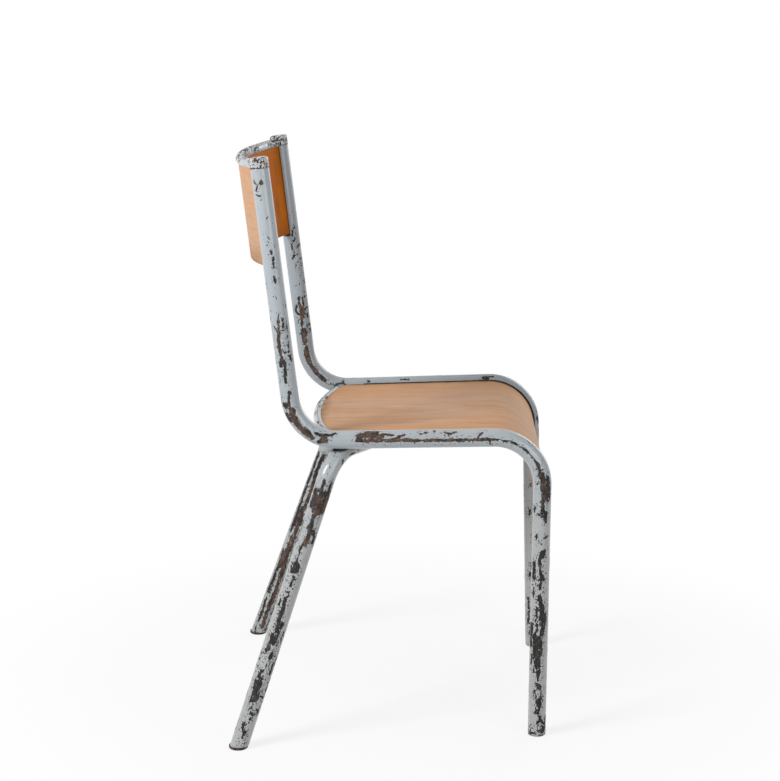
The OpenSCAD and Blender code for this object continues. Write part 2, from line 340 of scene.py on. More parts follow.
def ring_radii(radius, angles, along, slots):
    """Radius of the skin at each ring and angle: smaller inside a slot, with a rounded lip."""
    radii = np.full((len(along), len(angles)), radius)
    for slot in slots:
        off = np.abs(between(angles, slot["middle"])) - slot["half"]
        dip = np.where(off < 0, SLOT_DEPTH, np.where(off < 2, LIP_DEPTH, 0))
        inside = (along >= slot["from"]) & (along <= slot["to"])
        radii -= inside[:, None] * dip[None, :]
    return radii


def level_ends(route, along, skin):
    """Shears the rings near a leg's end until the last one lies flat on top of the foot."""
    for end in (0, -1):
        if route[end, 2] > 2 * FOOT_H:
            continue
        way = unit(route[1] - route[0]) if end == 0 else unit(route[-2] - route[-1])
        share = np.clip(1 - np.abs(along - along[end]) / LEVEL_OVER, 0, 1)
        slide = (skin[..., 2] - route[:, None, 2]) / way[2]
        skin -= share[:, None, None] * slide[..., None] * way
    return skin


def seam_grime_and_shade(skin, along, angles, slots, touching):
    """How dark each vertex's seam is, from dirt and a painted shade: 1 in a slot's edge or against another
    tube, 0 some way off.
    """
    dirt_and_shade = np.zeros(skin.shape[:2])
    for slot in slots:
        off = np.abs(between(angles, slot["middle"])) - slot["half"]
        inside = (along >= slot["from"] - 0.002) & (along <= slot["to"] + 0.002)
        dirt_and_shade = np.maximum(dirt_and_shade, inside[:, None] * np.clip(1 - off / 10, 0, 1)[None, :])
    for route, radius in touching:
        tree = KDTree(len(route))
        for i, point in enumerate(route):
            tree.insert(point, i)
        tree.balance()
        gap = np.array([tree.find(p)[2] for p in skin.reshape(-1, 3)]).reshape(dirt_and_shade.shape) - radius
        dirt_and_shade = np.maximum(dirt_and_shade, np.clip(1.25 - gap / (radius / 2), 0, 1))
    return dirt_and_shade


# %% Sweep a tube
def sweep(name, route, first_side, radius, slots, dark, brown, material,
          mirror=False, touching=(), rusting=0.0):
    tangents, sides, ups, along = carried_frames(route, first_side)
    kept = route[:, 2] >= FOOT_H
    for first, step in ((0, 1), (-1, -1)):
        if not kept[first]:
            inner = np.flatnonzero(kept)[first]
            edge, beyond = route[inner - step], route[inner]
            share = (FOOT_H - edge[2]) / (beyond[2] - edge[2])
            route[inner - step] = edge + share * (beyond - edge)
            along[inner - step] += share * (along[inner] - along[inner - step])
            kept[inner - step] = True
    route, tangents, sides, ups, along = (v[kept] for v in (route, tangents, sides, ups, along))
    if mirror:
        ups = -ups
    angles = ring_angles(slots)
    radii = ring_radii(radius, angles, along, slots)
    cos, sin = np.cos(np.radians(angles)), np.sin(np.radians(angles))
    skin = route[:, None] + radii[..., None] * (
        cos[None, :, None] * sides[:, None] + sin[None, :, None] * ups[:, None])
    skin = level_ends(route, along, skin)
    s, a = np.meshgrid(along * 1000, angles, indexing="ij")
    chip, rust = chip_fields(s, a, radius * 1000, dark, brown)
    rust = np.maximum(rust, rusting)
    unrolled = np.stack([s / 1000, radius * np.cos(np.radians(a)), radius * np.sin(np.radians(a))], -1)
    faces = ring_faces(len(route), len(angles))
    if mirror:
        faces = [f[::-1] for f in faces]
    count = len(route) * len(angles)
    ends = np.array([route[0], route[-1]])
    for end, first in ((0, 0), (1, count - len(angles))):
        for j in range(len(angles)):
            k = (j + 1) % len(angles)
            face = (count + end, first + j, first + k)
            faces.append(face if (end == 0) == mirror else face[::-1])
    fields = {
        "unrolled": np.concatenate([unrolled.reshape(-1, 3), [[along[0], 0, 0], [along[-1], 0, 0]]]),
        "chip_mm": np.concatenate([chip.ravel(), [9, 9]]),
        "rust": np.concatenate([rust.ravel(), [0, 0]]),
        "dirt_and_shade": np.concatenate([seam_grime_and_shade(skin, along, angles, slots, touching).ravel(), [0, 0]]),
    }
    piece = new_piece(name, np.concatenate([skin.reshape(-1, 3), ends]), faces, fields, material)
    print(name, "is", round(along[-1], 3), "m long,", len(dark) + len(brown), "strokes")
    return piece


# %% [markdown]
# ## Writing shaders as sums
#
# A shader is a graph of nodes, and a graph is tedious to write. The class below wraps an output
# of a node, so that `1 - mask` or `a * 0.3 + b` adds the Math nodes that it needs. Everything
# that isn't plain arithmetic goes through `node`.


# %% A socket that does arithmetic
class Field:
    def __init__(self, tree, socket):
        self.tree, self.socket = tree, socket

    def node(self, kind, settings, inputs, output=0):
        return add_node(self.tree, kind, settings, inputs, output)

    def math(self, operation, *values):
        return self.node("ShaderNodeMath", {"operation": operation}, dict(enumerate(values)))

    def __add__(self, other):
        return self.math("ADD", self, other)

    def __sub__(self, other):
        return self.math("SUBTRACT", self, other)

    def __rsub__(self, other):
        return self.math("SUBTRACT", other, self)

    def __mul__(self, other):
        return self.math("MULTIPLY", self, other)

    def __truediv__(self, other):
        return self.math("DIVIDE", self, other)

    __radd__, __rmul__ = __add__, __mul__

    def step(self, low, high):
        """0 below low and 1 above high, with a soft step between; or the other way round."""
        span = {"From Min": min(low, high), "From Max": max(low, high),
                "To Min": 0 if low < high else 1, "To Max": 1 if low < high else 0}
        return self.node("ShaderNodeMapRange", {"interpolation_type": "SMOOTHSTEP"},
                         {"Value": self, **span})

    def larger(self, other):
        return self.math("MAXIMUM", self, other)

    def scaled(self, x, y, z):
        return self.node("ShaderNodeVectorMath", {"operation": "MULTIPLY"}, {0: self, 1: (x, y, z)})

    def noise(self, scale, detail=2.0, roughness=0.5):
        return self.node("ShaderNodeTexNoise", {}, {"Vector": self, "Scale": scale,
                         "Detail": detail, "Roughness": roughness}, "Fac")

    def bump(self, distance, strength):
        return self.node("ShaderNodeBump", {}, {"Height": self, "Distance": distance,
                         "Strength": strength}, "Normal")


def add_node(tree, kind, settings, inputs, output=0):
    node = tree.nodes.new(kind)
    for key, value in settings.items():
        setattr(node, key, value)
    for key, value in inputs.items():
        if isinstance(value, Field):
            tree.links.new(value.socket, node.inputs[key])
        else:
            node.inputs[key].default_value = value
    return Field(tree, node.outputs[output])


# %% Colours and materials
def mixed(a, b, factor):
    """Colour a where factor is 0 and b where it is 1."""
    colours = {k: v if isinstance(v, Field) else (*v, 1) for k, v in ((6, a), (7, b))}
    return factor.node("ShaderNodeMix", {"data_type": "RGBA"}, {0: factor, **colours}, 2)


def shaded(colour, factor):
    """A colour made darker or lighter by a factor that varies over the surface."""
    grey = factor.node("ShaderNodeCombineXYZ", {}, {0: factor, 1: factor, 2: factor})
    return factor.node("ShaderNodeVectorMath", {"operation": "MULTIPLY"}, {0: colour, 1: grey})


def new_material(name):
    material = bpy.data.materials.new(name)
    material.use_nodes = True
    material.node_tree.nodes.clear()
    return material, material.node_tree


def attribute(tree, name, output="Fac"):
    return add_node(tree, "ShaderNodeAttribute", {"attribute_name": name}, {}, output)


def finish_material(tree, constants, **varying):
    shader = tree.nodes.new("ShaderNodeBsdfPrincipled")
    for key, value in constants.items():
        shader.inputs[key].default_value = value
    for key, value in varying.items():
        tree.links.new(value.socket, shader.inputs[key.replace("_", " ")])
    output = tree.nodes.new("ShaderNodeOutputMaterial")
    tree.links.new(shader.outputs[0], output.inputs["Surface"])


# %% [markdown]
# ## Chipped paint
#
# Four layers show: satin blue-grey paint, a pale rim where the paint has lifted and broken,
# with a painted highlight along it, dark bare steel, and brown rust in the oldest chips. The
# stored distance is roughened with noise that is stretched along the tube, as flaking paint
# tears along it. Small specks come from a second noise. A bump at the edges gives the paint its
# thickness.

# %% Paint material
PAINT = (0.355, 0.393, 0.420)
DULL_PAINT = (0.385, 0.390, 0.385)
# Near-white for lifted paint at the chips' edges, with a painted highlight there.
LIFTED_PAINT_GLINT = (0.70, 0.71, 0.70)
DARK_STEEL = (0.022, 0.020, 0.020)
WORN_STEEL = (0.078, 0.073, 0.068)
BROWN_RUST = (0.085, 0.054, 0.041)
ORANGE_RUST = (0.200, 0.116, 0.079)
# Near-black for seams and contacts: dirt, and painted shade where the parts meet.
SEAM_GRIME_AND_SHADE = (0.018, 0.015, 0.012)


def painted_steel(name, paint=PAINT, specks=0.0):
    material, tree = new_material(name)
    unrolled = attribute(tree, "unrolled", "Vector")
    place = add_node(tree, "ShaderNodeTexCoord", {}, {}, "Object")
    torn = unrolled.scaled(0.45, 1, 1)
    ragged = (torn.noise(230, 4, 0.65) - 0.5) * 8 + (torn.noise(900, 4, 0.7) - 0.5) * 5
    stroke = attribute(tree, "chip_mm")
    edge = stroke.larger(-1.5) + ragged + 0.30
    drawn = edge.step(0.20, -0.05)
    height_up = place.node("ShaderNodeSeparateXYZ", {}, {0: place}, "Z")
    low = height_up.step(0.46, 0.22)
    worn = stroke.step(8, 1)
    speck_noise = unrolled.scaled(0.6, 1, 1).noise(520, 3, 0.6)
    bare_area = unrolled.scaled(0.5, 1, 1).noise(45, 2).step(0.45, 0.68)
    dirt_and_shade = attribute(tree, "dirt_and_shade")
    lowest = height_up.step(0.30, 0.12)
    speck_edge = 0.708 - specks - worn * 0.105 - low * 0.035 - bare_area * 0.025 - speck_noise
    speck_edge = speck_edge - lowest * 0.012
    chipped = drawn.larger(speck_edge.step(0.008, -0.004))
    # Pale rims at the chips' edges: lifted paint, with a painted highlight along the edge.
    lifted_rim_glint = edge.step(0.9, 0.15).larger(speck_edge.step(0.035, 0.008))
    lifted_rim_glint = lifted_rim_glint * unrolled.noise(500, 2).step(0.40, 0.60)

    mottle = place.noise(28, 4, 0.6)
    coat = mixed(paint, DULL_PAINT, low * 0.85)
    # The paint is made a little darker from 0.74 m down, fully so below 0.46 m.
    darker_lower_down = height_up.step(0.74, 0.46) * 0.085
    coat = shaded(coat, 0.90 + mottle * 0.14 + place.noise(260, 2) * 0.06 - darker_lower_down)
    grime = unrolled.scaled(0.2, 1, 1).noise(170, 4, 0.65).step(0.56, 0.76) * 0.35
    coat = mixed(coat, (0.21, 0.20, 0.185), grime * (low * 0.6 + 0.25))
    coat = mixed(coat, LIFTED_PAINT_GLINT, lifted_rim_glint * 0.85)
    # Dark seams in slots and against other tubes: dirt, and painted shade where the parts meet.
    dark_seam_grime_shade = (dirt_and_shade + unrolled.noise(300, 3) * 0.5 - 0.25).step(0.28, 0.72)
    coat = mixed(coat, SEAM_GRIME_AND_SHADE, dark_seam_grime_shade * 0.92)

    inside = edge.step(0.0, -1.6)
    longer = unrolled.scaled(0.4, 1, 1)
    rusty = attribute(tree, "rust") * longer.noise(210, 4, 0.65).step(0.38, 0.58)
    steel = mixed(DARK_STEEL, WORN_STEEL, unrolled.scaled(0.3, 1, 1).noise(420, 4, 0.7).step(0.45, 0.75))
    rust = mixed(BROWN_RUST, ORANGE_RUST, longer.noise(240, 5, 0.7).step(0.42, 0.70))
    bare = mixed(steel, rust, rusty * (inside * 0.75 + 0.25))
    colour = mixed(coat, bare, chipped)

    lumps = place.noise(420, 2) * 0.03 + place.noise(75, 3) * 0.22
    height = (1 - chipped) * 0.24 + lifted_rim_glint * 0.08 + lumps + chipped * torn.noise(700, 3) * 0.12
    paint_roughness = 0.22 + mottle * 0.16 + grime * 0.7 + low * 0.10 + dark_seam_grime_shade * 0.4
    roughness = paint_roughness * (1 - chipped) + chipped * (0.62 + rusty * 0.25)
    gloss_left = (1 - chipped) * (1 - grime * 1.4) * (1 - dark_seam_grime_shade * 0.9)
    finish_material(tree, {"IOR": 1.5, "Specular IOR Level": 0.18, "Coat Roughness": 0.16},
                    Base_Color=colour, Roughness=roughness, Normal=height.bump(0.001, 0.9),
                    Metallic=chipped * (1 - rusty) * 0.25, Coat_Weight=gloss_left * 0.75)
    return material


paint = painted_steel("blue_grey_paint")
# The left frame stands on the far side and gets a darker copy of the same paint: painted shade.
far_shaded_paint = painted_steel("far_shaded_blue_grey_paint", paint=(0.285, 0.318, 0.345))
knocked_paint = painted_steel("knocked_paint", specks=0.075)
print("painted steel has", len(paint.node_tree.nodes), "nodes")

# %% [markdown]
# ## Where the paint is gone
#
# The chips that show most are drawn tube by tube. A side frame is measured from its
# front foot up the leg, back along the rail and up the post, in millimetres; 0 degrees faces
# away from the chair's middle, and 90 degrees is forward on the leg and the post and up on the
# rail. The rear hoop is measured from the right foot to the left one.

# %% Right side frame
right_dark = [
    (6, 7, 42, 10, 22), (4, 16, 34, 9, 50), (3, 10, 5, 16, 2), (3, 14, -38, 8, -50),
    (5, 20, 44, 24, 22, 21, -2), (4, 24, 20, 31, 12), (3, 12, 62, 26, 60), (4, 5, -25, 6, -65),
    (8, 37, -5, 52, 0), (5, 46, 14, 57, 8), (3, 58, 18, 68, 18), (3, 58, -15, 67, -18), (7, 72, 8, 78, -8),
    (4, 84, -3, 100, 2), (4, 94, -5, 97, -36), (9.5, 105, -10, 145, -15), (5, 120, 8, 142, 12),
    (6, 110, -28, 149, -34), (5, 108, -55, 120, -52), (6, 152, 15, 165, 30, 180, 38), (4, 165, 12, 168, 28),
    (4, 150, -28, 160, -15, 166, -20), (7, 168, 8, 190, 12, 205, -5), (5, 188, 5, 192, 20),
    (4, 171, -28, 180, -20, 190, -22), (8, 135, -65, 164, -62), (4, 213, 15), (4, 206, -50, 218, -46),
    (5, 217, -3, 240, 2, 250, -8, 265, -8, 272, 5), (4, 230, 25, 240, 8), (5, 263, 8, 272, 20),
    (8, 233, -50, 253, -46), (3, 223, -20), (3, 281, 0, 285, -18), (4, 288, -38, 293, -34),
    (3, 290, 20, 293, 40), (5, 313, 26, 318, 22, 326, 25), (6, 322, -3, 335, 4, 346, 2), (2.5, 324, -30),
    (4, 327, -56, 334, -50), (10, 346, 38, 370, 30), (3.5, 367, -32), (6, 360, 38, 374, 36),
    (3, 400, 0, 470, 0), (3, 418, 60), (3, 424, 57), (3, 548, 50, 548, 62),
    (5, 684, 56, 690, 38, 705, 25, 713, 18), (8, 750, -38, 757, -44), (8, 768, -26, 770, -42),
    (5, 801, -8, 812, -3, 828, 3), (6, 830, -5, 833, -18, 824, -25), (5, 831, 50, 836, 42),
    (3, 842, 40, 856, 47), (2, 862, 45, 885, 50), (3, 842, 15), (3, 872, 18, 873, 28),
    (4, 877, 25, 890, 26), (3, 858, 3), (3, 874, -22, 878, -32), (2.5, 905, 60), (3, 918, 5),
    (3, 938, 12, 947, 6), (3.5, 960, 14, 972, 17), (3.5, 977, 10, 983, 5), (2.5, 993, -3), (3.5, 1000, 3),
    (3, 1025, 8), (2, 943, 38), (2, 988, 28), (3, 912, -55), (3, 900, -52, 901, -68),
]
right_brown = [
    (10, 352, 12, 380, -3), (5, 380, -2, 398, 0), (4, 396, 8), (3, 391, -4, 390, -26),
    (5, 472, 0, 560, 0, 655, 2), (3, 445, 7), (3.5, 473, -8, 473, -34), (3, 482, 50, 490, 8),
    (4, 519, 56, 524, 42), (4, 524, 40, 534, 48), (4, 559, 52, 567, 45), (8, 620, 32, 650, 36),
    (11, 628, 55, 642, 50), (6, 650, 10, 652, 40), (5, 600, 14, 590, 34), (4, 605, 40, 620, 45),
    (5, 586, 6, 650, 6), (8, 698, 14, 702, -14), (7, 696, 0, 705, -24), (10, 716, -18, 735, -10),
    (10, 722, -6, 740, -12, 755, -8, 761, 4), (4.5, 762, -10, 775, -3, 788, 5), (5, 787, 10),
    (5, 835, -12, 850, -20, 870, -10, 886, -2), (3, 886, -1, 895, 4), (4, 1056, -20, 1058, -42),
    (4, 1063, -38, 1070, -25), (3, 1072, -30, 1075, -45), (5, 1072, 5, 1076, 4),
]

# %% Left side frame
left_dark = [
    (5, 176, 152, 182, 148), (5, 226, 163, 232, 157), (3, 217, 140, 219, 128), (4, 268, 138, 268, 120),
    (4, 218, 202, 226, 198), (2, 264, 188), (2, 272, 186), (8, 116, 178, 140, 168), (4, 85, 180, 97, 176),
    (5, 118, 207, 124, 205), (4, 40, 220, 60, 212, 82, 218), (4, 22, 210, 40, 195),
    (5, 45, 165, 55, 150, 64, 155), (6, 468, 140, 475, 136), (4, 461, 118, 467, 128),
    (3, 590, 130, 602, 128), (4, 651, 138, 653, 125), (4, 692, 135), (6, 365, 115, 373, 122), (3, 380, 118),
    (3, 706, 175), (3, 711, 172), (4, 760, 185, 800, 183, 820, 180), (5, 820, 180, 835, 175, 862, 182),
    (3, 806, 200), (3, 823, 205, 828, 198), (5, 836, 198, 842, 210, 848, 200), (4, 831, 132, 835, 126),
    (4, 843, 145, 846, 110), (3, 850, 148, 862, 155), (3, 815, 150, 818, 135), (4, 806, 152),
    (3.5, 887, 115), (3, 882, 162), (3, 920, 128, 921, 112), (3.5, 921, 190, 927, 170),
    (5, 940, 132, 943, 115), (3, 936, 182, 945, 176), (3, 948, 170, 952, 150), (3, 957, 170, 966, 162),
    (3, 967, 155, 970, 140), (2.5, 916, 155), (2, 905, 150), (2, 911, 170), (2.5, 928, 150), (2, 932, 165),
    (2.5, 945, 150), (2, 951, 135), (2.5, 955, 155), (2, 960, 145), (2, 925, 140), (2, 938, 158),
]
left_brown = [
    (7, 722, 175, 745, 172, 770, 170, 790, 172, 812, 167), (8, 832, 172, 846, 170),
]

# %% Rear hoop
hoop_dark = [
    (3, 10, 30), (3, 13, -12), (4, 19, 3, 27, 8), (5, 27, -5, 32, -15, 39, -15), (5, 46, 12),
    (3.5, 46, -15), (3.5, 52, 22, 54, 8), (4, 56, 50, 61, 46), (4, 61, -2, 68, -3), (11, 74, -5, 97, -8),
    (6, 88, -22, 98, -28), (5, 79, 50, 80, 36), (6, 104, 0, 106, -22), (4, 106, -20, 114, -18, 117, -3),
    (5, 114, 45, 126, 46), (2.5, 121, 5, 133, 7), (7, 136, 12, 141, 16), (3, 119, -50), (3, 130, -55),
    (4, 138, -55), (5, 144, -28, 146, -15, 158, -20, 168, -22), (7, 157, 0, 166, 10, 178, 0),
    (8, 160, -10, 166, -20), (5, 178, 0, 181, 18, 186, 22), (3, 155, 30), (3, 160, 48, 175, 50),
    (6, 182, -5, 195, -10, 208, -5, 220, -12), (4, 222, -8, 226, 2), (5, 210, -40, 217, -42), (4, 230, -15),
    (5, 240, -5, 252, -3), (4, 250, 10), (3, 248, -33), (10, 262, -8, 270, -12), (7, 260, -28, 268, -30),
    (3, 277, 2), (4, 272, -18, 282, -15, 290, -22, 300, -10), (6, 325, 0, 338, -3, 345, 5),
    (5, 305, 48, 315, 42, 321, 28), (5, 376, -3, 392, -8), (5, 380, 42, 390, 45), (10, 355, -35, 375, -45),
    (8, 366, 50, 378, 46), (4, 385, -55), (3.5, 410, -15), (3, 426, -28), (4, 422, 62, 425, 48),
    (4, 433, -80, 440, -62), (4, 440, 60, 454, 72), (6, 905, -128, 945, -130, 985, -132, 1045, -136),
    (6, 1083, -132, 1098, -142, 1125, -142), (7, 1125, -142, 1160, -138), (5, 1172, -142, 1215, -146),
    (5, 1000, -160, 1035, -150), (6, 905, -172, 935, -165, 955, -172), (4, 1225, -140, 1236, -150),
]
hoop_brown = [
    (7, 300, -5, 312, 5, 325, -3), (16, 352, 32, 372, 32), (12, 350, -2, 370, -4), (8, 372, 20, 376, -15),
    (7, 950, 178, 1000, 182, 1060, 186), (7, 1060, 188, 1110, 175, 1160, 170),
    (7, 1160, 172, 1195, 178, 1225, 170), (5, 1050, -165, 1080, -158, 1110, -162),
]

# %% [markdown]
# The sides that are out of sight wear in the same way, so a seeded generator draws their
# strokes: many near the floor and round the bends, where chairs knock and stack, and few on
# the middle of the rails and the upper posts. A second generator adds small chips along those
# edges of the posts that do show.

# %% Strokes for the other sides
rng = np.random.default_rng(7)


# How many strokes, where along a side frame, and the longest and the broadest of them
WORN_STRETCHES = [(26, (8, 190), 60, 9), (16, (190, 340), 45, 6), (16, (340, 480), 50, 7),
                  (12, (480, 690), 50, 5), (18, (690, 860), 60, 7), (9, (860, 1085), 25, 4)]


def worn_side(around):
    """Strokes for the part of a side frame between two angles."""
    return [stroke for count, along, longest, widest in WORN_STRETCHES
            for stroke in random_strokes(rng, count, along, around, longest, widest)]


def rusty_share(strokes, share=0.35):
    """Splits strokes into dark ones and brown ones."""
    brown = [s for s in strokes if rng.random() < share]
    return [s for s in strokes if s not in brown], brown


edge_chips = np.random.default_rng(11)
right_dark += random_strokes(edge_chips, 22, (775, 945), (-85, -50), 7, 4.5)
left_dark += random_strokes(edge_chips, 34, (800, 925), (95, 138), 9, 4.5)
right_hidden = rusty_share(worn_side((115, 265)) + random_strokes(rng, 30, (10, 360), (75, 285), 30, 4))
left_hidden = rusty_share(worn_side((-95, 85)) + random_strokes(rng, 20, (10, 360), (-85, 85), 30, 4))
hoop_hidden = rusty_share(
    random_strokes(rng, 60, (8, 440), (70, 290), 60, 8)
    + random_strokes(rng, 60, (800, 1232), (-90, 150), 60, 8)
    + random_strokes(rng, 26, (440, 800), (0, 360), 40, 5))
print("random strokes:", [len(a) + len(b) for a, b in (right_hidden, left_hidden, hoop_hidden)])

# %% [markdown]
# ## The steel
#
# Each side frame grips the plywood twice: a slot on its inner side takes the seat's edge, from
# the foot of the apron back along the rail, and another takes the backrest's end, turned by the
# angle at which the curved backrest meets the post.

# %% Side frames
seat_slot_half = math.degrees(math.asin((SEAT_T / 2 + SLOT_GAP) / TUBE_R))
back_slot_half = math.degrees(math.asin((BACK_T / 2 + SLOT_GAP) / TUBE_R))
rail_end_along = 0.659


def side_slots(route):
    length = float(np.linalg.norm(np.diff(route, axis=0), axis=1).sum())
    back_start = length - BACK_H + 0.001
    return [
        {"middle": 180, "half": seat_slot_half, "from": APRON_Z - SLOT_GAP, "to": rail_end_along},
        {"middle": 180 + back_turn, "half": back_slot_half, "from": back_start, "to": length},
    ]


drawn = {RIGHT: (right_dark, right_brown, right_hidden), LEFT: (left_dark, left_brown, left_hidden)}
for side, name in ((RIGHT, "right_side_frame"), (LEFT, "left_side_frame")):
    dark, brown, hidden = drawn[side]
    # The far, left frame takes the darker copy of the paint, a painted shade.
    tube = sweep(name + "_tube", side_routes[side], (side, 0, 0), TUBE_R,
                 side_slots(side_routes[side]), dark + hidden[0], brown + hidden[1],
                 paint if side == RIGHT else far_shaded_paint, mirror=side == LEFT,
                 touching=[(hoop_route, TUBE_R), (seat_edge_route, SEAT_EDGE_R)])
    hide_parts(name)

# %% Rear hoop
hoop = sweep("rear_leg_hoop_tube", hoop_route, (-1, 0, 0), TUBE_R, [],
             hoop_dark + hoop_hidden[0], hoop_brown + hoop_hidden[1], paint,
             touching=[(side_routes[RIGHT], TUBE_R), (side_routes[LEFT], TUBE_R)])
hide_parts("rear_leg_hoop")

# %% [markdown]
# ## Edge tubes
#
# Two thin tubes, slit along their length, are pushed over the plywood: one over the seat's
# rear edge, welded between the rails, and one along the backrest's top, between the post caps.
# They are swept like the frame, with the slit as a slot that runs their whole length.

# %% Sweep the edge tubes
seat_edge_dark = random_strokes(rng, 26, (0, 350), (-90, 120), 40, 4)
seat_edge_brown = random_strokes(rng, 14, (0, 350), (-90, 120), 40, 4)
seat_edge = sweep("seat_edge_tube_bent", seat_edge_route, (0, 1, 0), SEAT_EDGE_R,
                  [{"middle": 180, "half": 48, "from": 0.012, "to": 0.34}],
                  seat_edge_dark, seat_edge_brown, paint)
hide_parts("seat_edge_tube")

top_dark = random_strokes(rng, 60, (0, 350), (-90, 90), 36, 5)
top_brown = random_strokes(rng, 46, (0, 350), (-90, 90), 36, 5)
top_rail = sweep("top_rail_bent", top_rail_route, tuple(POST_DIR), TOP_RAIL_R,
                 [{"middle": 180, "half": 38, "from": 0.0, "to": 1.0}],
                 top_dark, top_brown, knocked_paint, rusting=0.6)
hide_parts("top_rail")

# %% [markdown]
# ## Plywood
#
# Seat and backrest are pressed plywood: thin sheets glued crosswise over a mould. A slab's
# cross-section is a long rounded rectangle, swept from the apron over the front bend to the
# rear edge for the seat, and round the arc for the backrest. Each vertex stores its place in
# the flat board, so the grain follows the bend, and its depth, so the cut edges show layers.


# %% Section of a board
def board_section(count, edge_steps=4):
    """Points round a board's section: across from -1 to 1, and depth from -0.5 to 0.5."""
    top = [(v, 0.5) for v in np.linspace(-1, 1, count)]
    turn = [math.pi / 2 - math.pi * k / (edge_steps + 1) for k in range(1, edge_steps + 1)]
    right = [(1 + 0.001 * math.cos(a), 0.5 * math.sin(a)) for a in turn]
    return top + right + [(-v, -d) for v, d in top] + [(-v, -d) for v, d in right]


def board_ends(length):
    """Ring places along a board, with the share of its thickness there: rounded at both ends."""
    round_in = [(0.0, 0.72), (0.0003, 0.86), (0.0009, 0.97), (0.0018, 1.0)]
    middle = np.linspace(0.0018, length - 0.0018, int(length / 0.0022))[1:-1]
    return round_in + [(s, 1.0) for s in middle] + [(length - s, share) for s, share in round_in[::-1]]


def board_piece(name, length, count, thickness, place_of, material):
    """Sweeps the section of a board; place_of gives a point and its place in the flat board."""
    section = board_section(count)
    places = [place_of(s, across, depth * share * thickness)
              for s, share in board_ends(length) for across, depth in section]
    points, flat = zip(*places)
    sides = len(section)
    rings = len(points) // sides
    last = (rings - 1) * sides
    faces = ring_faces(rings, sides)
    faces += [tuple(range(sides)), tuple(range(last, last + sides))[::-1]]
    print(name, "has", len(points), "points")
    return new_piece(name, points, faces, {"board": np.array(flat)}, material)


# %% Seat
# Up to this length the board's rows stay even; behind it they stretch to the curved rear edge
EVEN_LENGTH = 0.25
seat_slope = math.atan2(RAIL_FALL, RAIL_L)
seat_turn = math.pi / 2 + seat_slope
bend_take = BEND_R * math.tan(seat_turn / 2)
apron_straight = RAIL_FRONT_Z - bend_take - APRON_Z
bend_length = BEND_R * seat_turn


def seat_profile(s):
    """Height, distance back and outward direction of the seat's middle layer at a length s."""
    if s < apron_straight:
        return FRONT_Y, APRON_Z + s, -1.0, 0.0
    a = (s - apron_straight) / BEND_R
    if a < seat_turn:
        y = FRONT_Y + BEND_R - BEND_R * math.cos(a)
        z = APRON_Z + apron_straight + BEND_R * math.sin(a)
        return y, z, -math.cos(a), math.sin(a)
    y, z, ny, nz = seat_profile(apron_straight + bend_length - 1e-9)
    run = s - apron_straight - bend_length
    return y + run * math.cos(seat_slope), z - run * math.sin(seat_slope), ny, nz


def seat_length_at(across):
    """Length of the board from the apron's lower edge to the curved rear edge."""
    x = across * (frame_x(SEAT_EDGE_Y) - BOARD_IN_TUBE)
    rear = SEAT_EDGE_Y - seat_arc_r + math.sqrt((seat_arc_r - SEAT_EDGE_R * 0.2) ** 2 - x * x)
    start_y = FRONT_Y + BEND_R - BEND_R * math.cos(seat_turn)
    return apron_straight + bend_length + (rear - start_y) / math.cos(seat_slope)


longest = seat_length_at(0)


def on_seat(s, across, off):
    """A point of the seat, and its place in the flat board."""
    length = seat_length_at(min(abs(across), 1.0))
    if s >= EVEN_LENGTH:
        s = EVEN_LENGTH + (s - EVEN_LENGTH) * (length - EVEN_LENGTH) / (longest - EVEN_LENGTH)
    y, z, ny, nz = seat_profile(s)
    x = across * (frame_x(y) - BOARD_IN_TUBE)
    return (x, y + ny * off, z + nz * off), (s, x, off)


print("seat board is", round(longest, 3), "m long")


# %% [markdown]
# ## Wood finishes
#
# The seat's varnish is worn through by years of trousers: it is dry, pale and pinkish in the
# middle, more orange where the rails kept it from being rubbed, with fine dark pores and dirt
# along the grain. The pale middle also holds a painted sheen, and a painted shade darkens the
# board along the tubes. The backrest kept its varnish, which has turned deep orange on the
# front and faded to peach on the sunlit rear face.

# %% Wood colours and layers
# The pale colour stands for worn varnish and for a painted sheen in the seat's middle.
PALE_WORN_SEAT_SHEEN = (0.520, 0.325, 0.215)
ORANGE_SEAT = (0.500, 0.255, 0.110)
# Dark brown for dirt, scratches and ply layers, and for the painted shade along the tubes.
SEAT_DIRT_AND_SHADE = (0.100, 0.055, 0.032)
PEACH_BACK = (0.500, 0.295, 0.178)
ORANGE_BACK = (0.470, 0.118, 0.003)
STREAK = (0.190, 0.098, 0.050)


def split(vector, axis):
    return vector.node("ShaderNodeSeparateXYZ", {}, {0: vector}, axis)


def plies(board, thickness):
    """Layers on a cut edge: light and dark bands through the board's thickness."""
    layer = (split(board, "Z") / thickness + 0.5) * 5
    whole = layer.math("MODULO", layer.math("FLOOR", layer), 2)
    return whole * 0.45 + board.noise(900, 3) * 0.35


